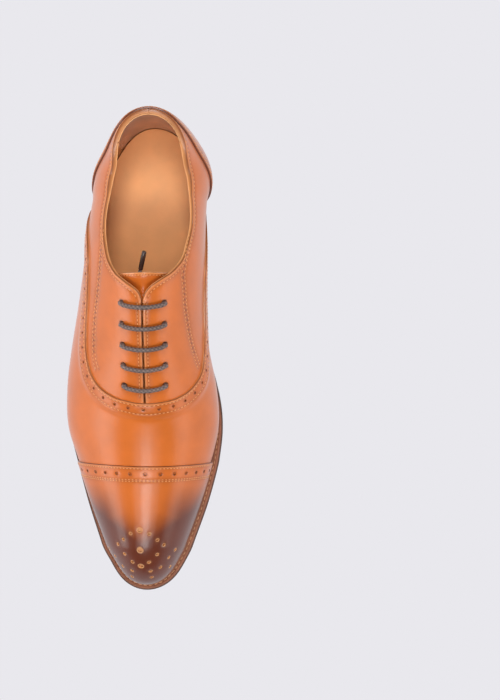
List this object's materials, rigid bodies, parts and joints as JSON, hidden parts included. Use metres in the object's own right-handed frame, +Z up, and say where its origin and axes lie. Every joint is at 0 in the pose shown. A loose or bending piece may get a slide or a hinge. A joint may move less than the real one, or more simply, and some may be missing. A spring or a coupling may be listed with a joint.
{
  "type": "leather oxford shoe",
  "caption": "Cap-toe oxford shoe for the right foot: punched tan leather upper with closed lacing, welted leather sole and stacked heel.",
  "frame": {"origin": "centre of the box on the floor the shoe stands on", "axes": "+Z up, -Y towards the toe, +Y towards the heel, +X towards the inner (medial) side of a right foot"},
  "size_m": [0.0998, 0.3006, 0.1018],
  "materials": {
    "upper_leather": "smooth tan calf with a soft polish",
    "burnished_leather": "tan calf darkened by hand towards the toe and heel edges",
    "lining_leather": "matte vegetable-tanned lining",
    "suede": "brushed suede",
    "leather_board": "raw fibre board",
    "cork": "ground cork filler",
    "steel": "plain",
    "brass": "plain",
    "sole_leather": "dark stained and waxed edge",
    "rubber": "matte",
    "waxed_cord": "round waxed cotton lace",
    "lace_tip": "dark tip"
  },
  "bodies": {
    "shoe": {"aglet_1": "lace_tip", "aglet_2": "lace_tip", "cork_filler": "cork", "counter_stiffener": "leather_board", "eyelet_lateral_1": "brass", "eyelet_lateral_2": "brass", "eyelet_lateral_3": "brass", "eyelet_lateral_4": "brass", "eyelet_lateral_5": "brass", "eyelet_medial_1": "brass", "eyelet_medial_2": "brass", "eyelet_medial_3": "brass", "eyelet_medial_4": "brass", "eyelet_medial_5": "brass", "facing_stay_lateral": "lining_leather", "facing_stay_medial": "lining_leather", "heel_counter_cover": "burnished_leather", "heel_grip_lining": "suede", "heel_lift_1": "sole_leather", "heel_lift_2": "sole_leather", "heel_lift_3": "sole_leather", "heel_nail_1": "steel", "heel_nail_2": "steel", "heel_nail_3": "steel", "heel_nail_4": "steel", "heel_nail_5": "steel", "insole_board": "leather_board", "lace": "waxed_cord", "outsole": "sole_leather", "quarter_lateral": "upper_leather", "quarter_lining_lateral": "lining_leather", "quarter_lining_medial": "lining_leather", "quarter_medial": "upper_leather", "rand": "sole_leather", "shank": "steel", "sock": "lining_leather", "toe_cap": "burnished_leather", "toe_puff": "leather_board", "top_piece": "rubber", "vamp": "upper_leather", "vamp_lining": "lining_leather", "welt": "sole_leather"},
    "tongue_flap": {"tongue": "upper_leather", "tongue_lining": "lining_leather"}
  },
  "joints": [
    {"name": "tongue_hinge", "type": "hinge", "parent": "shoe", "child": "tongue_flap", "pos_m": [0.0041, -0.0375, 0.0655], "axis": [1, 0, 0], "range_deg": [-6, 0], "stiffness_Nm_per_rad": 0.15, "springref_deg": 2.86}
  ]
}
